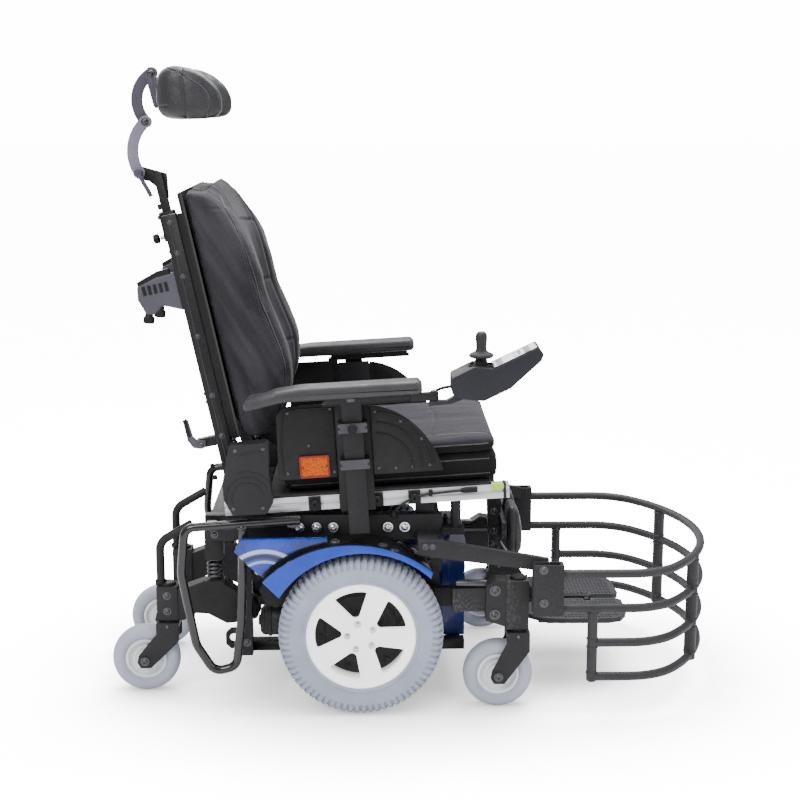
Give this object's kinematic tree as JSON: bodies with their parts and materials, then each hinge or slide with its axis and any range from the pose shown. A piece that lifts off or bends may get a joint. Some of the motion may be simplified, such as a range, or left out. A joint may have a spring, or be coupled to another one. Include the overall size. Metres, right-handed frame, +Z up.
{
  "type": "power wheelchair",
  "caption": "Power wheelchair with mid-wheel drive, sprung casters, reclining back, tilting headrest, joystick, folding footplates and a tubular front guard.",
  "frame": {"origin": "on the floor under the middle of the whole chair's bounding box", "axes": "+X is the way the chair drives, +Y the chair's left, +Z up"},
  "size_m": [1.3485, 0.66, 1.378],
  "materials": {
    "tyre_grey": "matte",
    "caster_grey": "matte",
    "rim_silver": "satin",
    "frame_black": "satin",
    "guard_charcoal": "satin",
    "battery_navy": "satin",
    "plain_plastic": "matte",
    "shroud_blue": "gloss",
    "motor_grey": "satin",
    "bright_steel": "polished",
    "rail_aluminium": "brushed",
    "black_fabric": "woven",
    "grey_fabric": "woven",
    "panel_plastic": "textured",
    "reflector_orange": "gloss",
    "lead_rubber": "satin",
    "shell_plastic": "satin",
    "link_grey": "satin",
    "dark_vinyl": "satin",
    "post_grey": "satin",
    "button_orange": "gloss",
    "tread_rubber": "ribbed"
  },
  "bodies": {
    "base": {"chassis_frame": "frame_black", "battery_box": "battery_navy", "batteries": "plain_plastic", "control_module": "plain_plastic", "body_shrouds": "shroud_blue", "drive_motors": "motor_grey", "rear_guards": "guard_charcoal", "fasteners": "bright_steel", "seat_rails": "rail_aluminium", "seat_base_cushion": "black_fabric", "seat_cushion": "grey_fabric", "seat_brackets": "frame_black", "side_panels": "panel_plastic", "reflectors": "reflector_orange", "hinge_covers": "panel_plastic", "guard_cage": "guard_charcoal", "guard_mounts": "frame_black", "joystick_lead": "lead_rubber"},
    "drive_wheel_right": {"drive_tyre_right": "tyre_grey", "drive_rim_right": "rim_silver"},
    "rear_suspension_right": {"rear_arm_right": "frame_black", "spring_right": "bright_steel"},
    "front_suspension_right": {"front_arm_right": "frame_black"},
    "rear_fork_right": {"caster_fork_rear_right": "frame_black"},
    "rear_caster_right": {"caster_wheel_rear_right": "caster_grey"},
    "front_fork_right": {"caster_fork_front_right": "frame_black"},
    "front_caster_right": {"caster_wheel_front_right": "caster_grey"},
    "drive_wheel_left": {"drive_tyre_left": "tyre_grey", "drive_rim_left": "rim_silver"},
    "rear_suspension_left": {"rear_arm_left": "frame_black", "spring_left": "bright_steel"},
    "front_suspension_left": {"front_arm_left": "frame_black"},
    "rear_fork_left": {"caster_fork_rear_left": "frame_black"},
    "rear_caster_left": {"caster_wheel_rear_left": "caster_grey"},
    "front_fork_left": {"caster_fork_front_left": "frame_black"},
    "front_caster_left": {"caster_wheel_front_left": "caster_grey"},
    "backrest": {"back_frame": "frame_black", "back_shell": "shell_plastic", "back_cushion": "grey_fabric", "push_handles": "motor_grey"},
    "recline_lever": {"recline_lever": "frame_black"},
    "headrest_upright": {"headrest_post": "frame_black"},
    "headrest_lower": {"headrest_lower_link": "link_grey"},
    "headrest_upper": {"headrest_upper_link": "link_grey"},
    "headrest_cushion": {"headrest_bracket": "link_grey", "headrest_pad": "dark_vinyl"},
    "headrest_knob": {"headrest_knob": "plain_plastic"},
    "armrest_right": {"armrest_post_right": "post_grey", "armrest_pad_right": "dark_vinyl"},
    "armrest_left": {"armrest_post_left": "post_grey", "armrest_pad_left": "dark_vinyl"},
    "joystick_pod": {"joystick_pod": "panel_plastic"},
    "joystick_gimbal": {"joystick_gimbal": "plain_plastic"},
    "joystick_lever": {"joystick_lever": "plain_plastic"},
    "power_button": {"power_button": "button_orange"},
    "horn_button": {"horn_button": "button_orange"},
    "leg_rest": {"leg_rest_frame": "frame_black", "calf_pads": "dark_vinyl"},
    "footplate_right": {"footplate_right": "tread_rubber"},
    "footplate_left": {"footplate_left": "tread_rubber"}
  },
  "joints": [
    {"name": "drive_wheel_right_turn", "type": "hinge", "parent": "base", "child": "drive_wheel_right", "pos_m": [-0.11525, -0.27, 0.178], "axis": [0, 1, 0], "continuous": true},
    {"name": "rear_arm_right_swing", "type": "hinge", "parent": "base", "child": "rear_suspension_right", "pos_m": [-0.36525, -0.138, 0.19], "axis": [0, 1, 0], "range_deg": [0, 8], "stiffness_Nm_per_rad": 600, "springref_deg": -8.59, "deforming": ["spring_right"]},
    {"name": "front_arm_right_swing", "type": "hinge", "parent": "base", "child": "front_suspension_right", "pos_m": [0.03475, -0.212, 0.24], "axis": [0, -1, 0], "range_deg": [0, 12], "stiffness_Nm_per_rad": 460, "springref_deg": -8.59},
    {"name": "rear_caster_right_swivel", "type": "hinge", "parent": "rear_suspension_right", "child": "rear_fork_right", "pos_m": [-0.54625, -0.138, 0.2], "axis": [0, 0, 1], "continuous": true},
    {"name": "rear_caster_right_roll", "type": "hinge", "parent": "rear_fork_right", "child": "rear_caster_right", "pos_m": [-0.59825, -0.138, 0.076], "axis": [0, 1, 0], "continuous": true},
    {"name": "front_caster_right_swivel", "type": "hinge", "parent": "front_suspension_right", "child": "front_fork_right", "pos_m": [0.22475, -0.245, 0.22], "axis": [0, 0, 1], "continuous": true},
    {"name": "front_caster_right_roll", "type": "hinge", "parent": "front_fork_right", "child": "front_caster_right", "pos_m": [0.18275, -0.245, 0.076], "axis": [0, 1, 0], "continuous": true},
    {"name": "drive_wheel_left_turn", "type": "hinge", "parent": "base", "child": "drive_wheel_left", "pos_m": [-0.11525, 0.27, 0.178], "axis": [0, 1, 0], "continuous": true},
    {"name": "rear_arm_left_swing", "type": "hinge", "parent": "base", "child": "rear_suspension_left", "pos_m": [-0.36525, 0.138, 0.19], "axis": [0, 1, 0], "range_deg": [0, 8], "stiffness_Nm_per_rad": 600, "springref_deg": -8.59, "deforming": ["spring_left"]},
    {"name": "front_arm_left_swing", "type": "hinge", "parent": "base", "child": "front_suspension_left", "pos_m": [0.03475, 0.212, 0.24], "axis": [0, -1, 0], "range_deg": [0, 12], "stiffness_Nm_per_rad": 460, "springref_deg": -8.59},
    {"name": "rear_caster_left_swivel", "type": "hinge", "parent": "rear_suspension_left", "child": "rear_fork_left", "pos_m": [-0.54625, 0.138, 0.2], "axis": [0, 0, 1], "continuous": true},
    {"name": "rear_caster_left_roll", "type": "hinge", "parent": "rear_fork_left", "child": "rear_caster_left", "pos_m": [-0.59825, 0.138, 0.076], "axis": [0, 1, 0], "continuous": true},
    {"name": "front_caster_left_swivel", "type": "hinge", "parent": "front_suspension_left", "child": "front_fork_left", "pos_m": [0.22475, 0.245, 0.22], "axis": [0, 0, 1], "continuous": true},
    {"name": "front_caster_left_roll", "type": "hinge", "parent": "front_fork_left", "child": "front_caster_left", "pos_m": [0.18275, 0.245, 0.076], "axis": [0, 1, 0], "continuous": true},
    {"name": "recline", "type": "hinge", "parent": "base", "child": "backrest", "pos_m": [-0.38325, 0, 0.483], "axis": [0, 1, 0], "range_deg": [-30, 4]},
    {"name": "recline_lever_pull", "type": "hinge", "parent": "backrest", "child": "recline_lever", "pos_m": [-0.45349, -0.2083, 0.58257], "axis": [0, 1, 0], "range_deg": [0, 20], "stiffness_Nm_per_rad": 0.6, "springref_deg": -17.19},
    {"name": "headrest_height", "type": "slide", "parent": "backrest", "child": "headrest_upright", "axis": [-0.2079, 0, 0.9781], "range_m": [0, 0.08]},
    {"name": "headrest_lower_tilt", "type": "hinge", "parent": "headrest_upright", "child": "headrest_lower", "pos_m": [-0.59825, 0, 1.147], "axis": [0, 1, 0], "range_deg": [-20, 20]},
    {"name": "headrest_upper_tilt", "type": "hinge", "parent": "headrest_lower", "child": "headrest_upper", "pos_m": [-0.58125, 0, 1.257], "axis": [0, 1, 0], "range_deg": [-20, 20]},
    {"name": "headrest_pad_tilt", "type": "hinge", "parent": "headrest_upper", "child": "headrest_cushion", "pos_m": [-0.56525, 0, 1.361], "axis": [0, 1, 0], "range_deg": [-15, 15]},
    {"name": "headrest_knob_turn", "type": "hinge", "parent": "backrest", "child": "headrest_knob", "pos_m": [-0.55721, 0, 1.0032], "axis": [0.9781, 0, 0.2079], "range_deg": [-90, 90]},
    {"name": "armrest_right_height", "type": "slide", "parent": "base", "child": "armrest_right", "axis": [-0.061, 0, 0.9981], "range_m": [0, 0.08]},
    {"name": "armrest_left_height", "type": "slide", "parent": "base", "child": "armrest_left", "axis": [-0.061, 0, 0.9981], "range_m": [0, 0.08]},
    {"name": "joystick_swing", "type": "hinge", "parent": "armrest_right", "child": "joystick_pod", "pos_m": [0.03882, -0.288, 0.69759], "axis": [-0.061, 0, 0.9981], "range_deg": [-90, 0]},
    {"name": "joystick_pitch", "type": "hinge", "parent": "joystick_pod", "child": "joystick_gimbal", "pos_m": [0.13675, -0.28, 0.745], "axis": [0, 1, 0], "range_deg": [-14, 14], "stiffness_Nm_per_rad": 1.2},
    {"name": "joystick_roll", "type": "hinge", "parent": "joystick_gimbal", "child": "joystick_lever", "pos_m": [0.13675, -0.28, 0.745], "axis": [1, 0, 0], "range_deg": [-14, 14], "stiffness_Nm_per_rad": 1.2},
    {"name": "power_button_press", "type": "slide", "parent": "joystick_pod", "child": "power_button", "axis": [-0.4311, 0, 0.9023], "range_m": [-0.0008, 0], "stiffness_N_per_m": 900, "springref_m": 0.0008},
    {"name": "horn_button_press", "type": "slide", "parent": "joystick_pod", "child": "horn_button", "axis": [-0.4311, 0, 0.9023], "range_m": [-0.0008, 0], "stiffness_N_per_m": 900, "springref_m": 0.0008},
    {"name": "leg_rest_raise", "type": "hinge", "parent": "base", "child": "leg_rest", "pos_m": [0.17475, 0, 0.44], "axis": [0, -1, 0], "range_deg": [0, 60]},
    {"name": "footplate_right_flip", "type": "hinge", "parent": "leg_rest", "child": "footplate_right", "pos_m": [0.33475, -0.018, 0.157], "axis": [-1, 0, 0], "range_deg": [0, 90]},
    {"name": "footplate_left_flip", "type": "hinge", "parent": "leg_rest", "child": "footplate_left", "pos_m": [0.33475, 0.018, 0.157], "axis": [1, 0, 0], "range_deg": [0, 90]}
  ]
}
